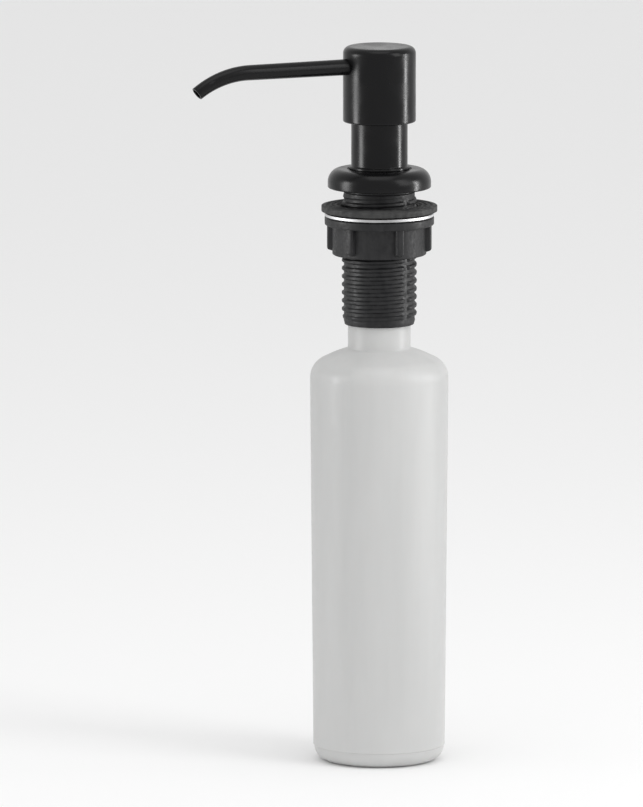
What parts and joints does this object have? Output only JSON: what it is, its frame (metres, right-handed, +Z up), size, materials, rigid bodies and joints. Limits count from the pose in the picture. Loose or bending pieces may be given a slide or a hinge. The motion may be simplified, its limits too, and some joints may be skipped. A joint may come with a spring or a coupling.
{
  "type": "deck-mounted detergent dispenser",
  "caption": "Press-down detergent pump with a swivelling bent spout, clamped in a deck hole above a screw-in bottle.",
  "frame": {"origin": "centre of the deck hole at the deck's top face, where the flange gasket sits", "axes": "+Z up along the pump's axis, spout towards -Y, X to its side"},
  "size_m": [0.0508, 0.0996, 0.2645],
  "materials": {
    "satin_black": "satin black coating on brass and zinc",
    "moulded_black": "fine moulded black plastic",
    "rubber": "matt black rubber",
    "steel": "bright stainless steel",
    "white_plastic": "natural moulded plastic",
    "milky_plastic": "blown milky plastic, slightly see-through",
    "clear_tube": "extruded cloudy tube"
  },
  "bodies": {
    "base": {"flange_gasket": "rubber", "threaded_shank": "moulded_black", "escutcheon": "satin_black", "collar": "satin_black"},
    "clamp": {"under_deck_washer": "rubber", "friction_washer": "steel"},
    "nut": {"mounting_nut": "moulded_black"},
    "neck_seal": {"bottle_seal": "rubber"},
    "bottle": {"bottle": "milky_plastic"},
    "pump_unit": {"collar_gasket": "rubber", "chaplet": "white_plastic", "pump_housing": "white_plastic", "dip_tube": "clear_tube", "stem_seal": "rubber", "ball_cage": "white_plastic", "return_spring": "steel"},
    "inlet_valve": {"inlet_ball": "steel"},
    "plunger": {"stem": "white_plastic", "piston": "rubber"},
    "outlet_valve": {"outlet_ball": "steel"},
    "head": {"pump_head": "satin_black", "head_insert": "white_plastic", "spout_o_ring": "rubber", "spout": "satin_black", "spout_liner": "white_plastic"}
  },
  "joints": [
    {"name": "pump_lift", "type": "slide", "parent": "base", "child": "pump_unit", "axis": [0, 0, 1], "range_m": [0, 0.245]},
    {"name": "pump_press", "type": "slide", "parent": "pump_unit", "child": "plunger", "axis": [0, 0, -1], "range_m": [0, 0.012], "stiffness_N_per_m": 600, "springref_m": -0.01, "deforming": ["return_spring"]},
    {"name": "head_swivel", "type": "hinge", "parent": "plunger", "child": "head", "pos_m": [0, 0, 0.045], "axis": [0, 0, 1], "continuous": true},
    {"name": "inlet_ball_lift", "type": "slide", "parent": "pump_unit", "child": "inlet_valve", "axis": [0, 0, 1], "range_m": [0, 0.002]},
    {"name": "outlet_ball_lift", "type": "slide", "parent": "plunger", "child": "outlet_valve", "axis": [0, 0, 1], "range_m": [0, 0.0008]},
    {"name": "clamp_travel", "type": "slide", "parent": "base", "child": "clamp", "axis": [0, 0, -1], "range_m": [0, 0.018]},
    {"name": "nut_turn", "type": "hinge", "parent": "clamp", "child": "nut", "pos_m": [0, 0, -0.017], "axis": [0, 0, -1], "range_deg": [0, 2160]},
    {"name": "bottle_travel", "type": "slide", "parent": "base", "child": "neck_seal", "axis": [0, 0, -1], "range_m": [0, 0.008]},
    {"name": "bottle_turn", "type": "hinge", "parent": "neck_seal", "child": "bottle", "pos_m": [0, 0, -0.12], "axis": [0, 0, -1], "range_deg": [0, 900]}
  ],
  "couplings": [
    {"joint": "nut_turn", "follows": "clamp_travel", "rad_per_m": 2094.4},
    {"joint": "bottle_turn", "follows": "bottle_travel", "rad_per_m": 1963.5}
  ]
}
